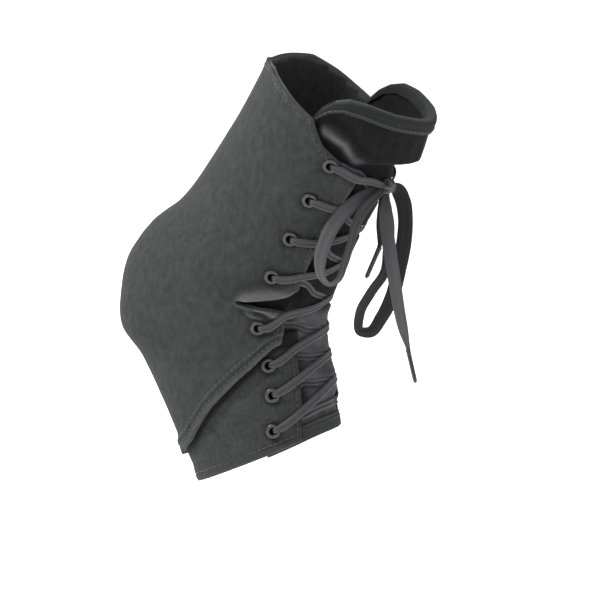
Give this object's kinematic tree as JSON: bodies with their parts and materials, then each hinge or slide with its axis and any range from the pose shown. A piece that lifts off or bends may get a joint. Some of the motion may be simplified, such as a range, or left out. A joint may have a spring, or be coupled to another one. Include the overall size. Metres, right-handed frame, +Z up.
{
  "type": "ankle brace",
  "caption": "Lace-up ankle brace of padded canvas with a closed heel, a lapped forefoot panel, a padded tongue, eyelets and a flat lace tied in a bow, in its worn form.",
  "frame": {"origin": "centre of the ankle, where the foot sits in the brace", "axes": "+X the way the toes point, +Y to the wearer's left, +Z up; the leg leans forward and the foot points down, so gravity along -Z hangs the bow as drawn"},
  "size_m": [0.2032, 0.0888, 0.2582],
  "materials": {
    "canvas": "matte woven nylon canvas",
    "tongue_cloth": "matte padded cloth",
    "binding_tape": "ribbed binding tape",
    "eyelet_enamel": "satin black enamel",
    "lace": "flat braided lace",
    "aglet_plastic": "glossy film"
  },
  "bodies": {
    "root": {"shell": "canvas", "forefoot_panel": "canvas", "tongue": "tongue_cloth", "tongue_binding_top": "binding_tape", "tongue_binding_bottom": "binding_tape", "eyelet_right_1": "eyelet_enamel", "eyelet_left_1": "eyelet_enamel", "eyelet_right_2": "eyelet_enamel", "eyelet_left_2": "eyelet_enamel", "eyelet_right_3": "eyelet_enamel", "eyelet_left_3": "eyelet_enamel", "eyelet_right_4": "eyelet_enamel", "eyelet_left_4": "eyelet_enamel", "eyelet_right_5": "eyelet_enamel", "eyelet_left_5": "eyelet_enamel", "eyelet_right_6": "eyelet_enamel", "eyelet_left_6": "eyelet_enamel", "eyelet_right_7": "eyelet_enamel", "eyelet_left_7": "eyelet_enamel", "eyelet_right_8": "eyelet_enamel", "eyelet_left_8": "eyelet_enamel", "lace_first_half": "lace", "lace_second_half": "lace", "bow_knot": "lace", "bow_loop_right": "lace", "bow_loop_left": "lace", "lace_end_long": "lace", "lace_end_short": "lace", "aglet_long": "aglet_plastic", "aglet_short": "aglet_plastic"}
  },
  "joints": []
}
